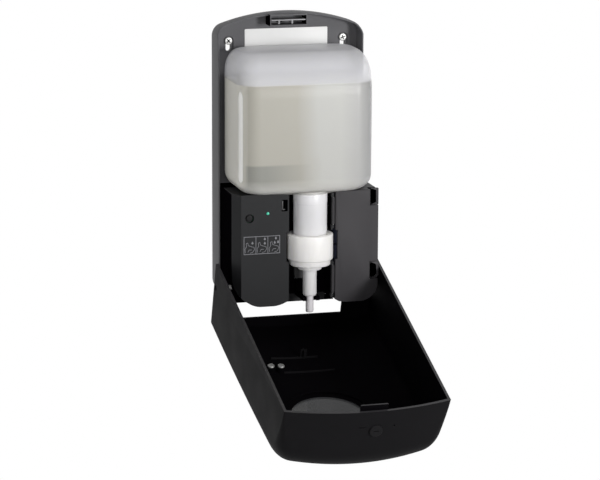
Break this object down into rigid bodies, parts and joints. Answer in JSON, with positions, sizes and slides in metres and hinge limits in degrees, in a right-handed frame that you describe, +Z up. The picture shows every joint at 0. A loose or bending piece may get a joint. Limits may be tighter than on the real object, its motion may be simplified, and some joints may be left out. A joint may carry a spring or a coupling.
{
  "type": "automatic foam soap dispenser",
  "caption": "Wall-mounted touch-free foam soap dispenser with its cover hinged open, showing the refill bottle, pump, geared lift and cell bay.",
  "frame": {"origin": "centre of the flat back of the wall plate", "axes": "+Z up the wall, -Y out of the wall towards the user, +X to the right as seen by the user"},
  "size_m": [0.155, 0.2935, 0.3664],
  "materials": {
    "charcoal_plastic": "fine satin texture",
    "black_plastic": "satin",
    "white_plastic": "smooth moulded",
    "grey_acetal": "smooth",
    "pale_stem": "smooth",
    "zinc_steel": "zinc plated",
    "brass": "machined",
    "rubber": "matte",
    "natural_bottle": "translucent, softly glossy",
    "soap_liquid": "clear yellowish liquid",
    "green_lens": "translucent",
    "infrared_window": "polished",
    "board_green": "solder mask",
    "cell_jacket": "bare jacket",
    "smoked_window": "tinted, polished"
  },
  "bodies": {
    "frame": {"back_plate": "charcoal_plastic", "label_plate": "white_plastic", "wall_screw_1": "zinc_steel", "wall_screw_2": "zinc_steel", "rear_chassis": "black_plastic", "housing_shell": "charcoal_plastic", "door_pin_lower": "zinc_steel", "door_pin_upper": "zinc_steel", "hinge_pin_left": "zinc_steel", "hinge_pin_right": "zinc_steel", "cell_1": "cell_jacket", "cell_2": "cell_jacket", "cell_3": "cell_jacket", "cell_4": "cell_jacket", "cell_contact_lower": "zinc_steel", "cell_contact_upper": "zinc_steel", "circuit_board": "board_green", "sensor_board": "board_green", "sensor_window": "infrared_window", "led_lens": "green_lens", "dose_guide": "charcoal_plastic", "neck_clip": "grey_acetal", "gear_frame": "black_plastic", "drive_shaft": "zinc_steel", "idler_shaft": "zinc_steel", "motor": "zinc_steel"},
    "cover": {"cover_shell": "black_plastic", "sight_window": "smoked_window", "cover_magnet_1": "zinc_steel", "cover_magnet_2": "zinc_steel"},
    "lock": {"lock_barrel": "black_plastic", "lock_cam": "zinc_steel"},
    "door": {"battery_door": "charcoal_plastic"},
    "button": {"dose_button": "black_plastic"},
    "catch": {"cover_catch": "grey_acetal"},
    "refill": {"bottle": "natural_bottle", "soap": "soap_liquid", "pump_closure": "white_plastic", "gasket": "rubber", "pump_cylinder": "white_plastic", "valve_ball": "zinc_steel"},
    "stem": {"pump_stem": "pale_stem", "nozzle_tip": "grey_acetal"},
    "lift": {"lift_carriage": "grey_acetal", "lift_fork": "black_plastic"},
    "drive": {"drive_gear": "white_plastic"},
    "idler": {"idler_gear": "white_plastic"},
    "pinion": {"motor_pinion": "brass"}
  },
  "joints": [
    {"name": "cover_hinge", "type": "hinge", "parent": "frame", "child": "cover", "pos_m": [0, -0.0494, -0.1173], "axis": [1, 0, 0], "range_deg": [-108.4, 0]},
    {"name": "lock_turn", "type": "hinge", "parent": "cover", "child": "lock", "pos_m": [0.006, -0.28241, -0.19439], "axis": [0, -0.9489, -0.3156], "range_deg": [0, 90]},
    {"name": "door_hinge", "type": "hinge", "parent": "frame", "child": "door", "pos_m": [0.028, -0.0699, -0.0825], "axis": [0, 0, -1], "range_deg": [0, 80]},
    {"name": "button_press", "type": "slide", "parent": "frame", "child": "button", "axis": [0, 1, 0], "range_m": [0, 0.001], "stiffness_N_per_m": 400},
    {"name": "catch_press", "type": "slide", "parent": "frame", "child": "catch", "axis": [0, 0, -1], "range_m": [0, 0.0025], "stiffness_N_per_m": 400, "springref_m": -0.0005},
    {"name": "refill_pull", "type": "slide", "parent": "frame", "child": "refill", "axis": [0, -1, 0], "range_m": [0, 0.1]},
    {"name": "stem_stroke", "type": "slide", "parent": "refill", "child": "stem", "axis": [0, 0, 1], "range_m": [0, 0.011]},
    {"name": "lift_slide", "type": "slide", "parent": "frame", "child": "lift", "axis": [0, 0, 1], "range_m": [0, 0.011]},
    {"name": "drive_spin", "type": "hinge", "parent": "frame", "child": "drive", "pos_m": [0, -0.0275, -0.1025], "axis": [1, 0, 0], "range_deg": [-126.2, 0.1]},
    {"name": "idler_spin", "type": "hinge", "parent": "frame", "child": "idler", "pos_m": [0, -0.0275, -0.0865], "axis": [1, 0, 0], "range_deg": [-0.1, 378.3]},
    {"name": "motor_spin", "type": "hinge", "parent": "frame", "child": "pinion", "pos_m": [0, -0.0275, -0.0705], "axis": [1, 0, 0], "range_deg": [-1134.8, 0.1]}
  ],
  "couplings": [
    {"joint": "stem_stroke", "follows": "lift_slide", "ratio": 1},
    {"joint": "drive_spin", "follows": "lift_slide", "rad_per_m": -200},
    {"joint": "idler_spin", "follows": "lift_slide", "rad_per_m": 600},
    {"joint": "motor_spin", "follows": "lift_slide", "rad_per_m": -1800}
  ]
}
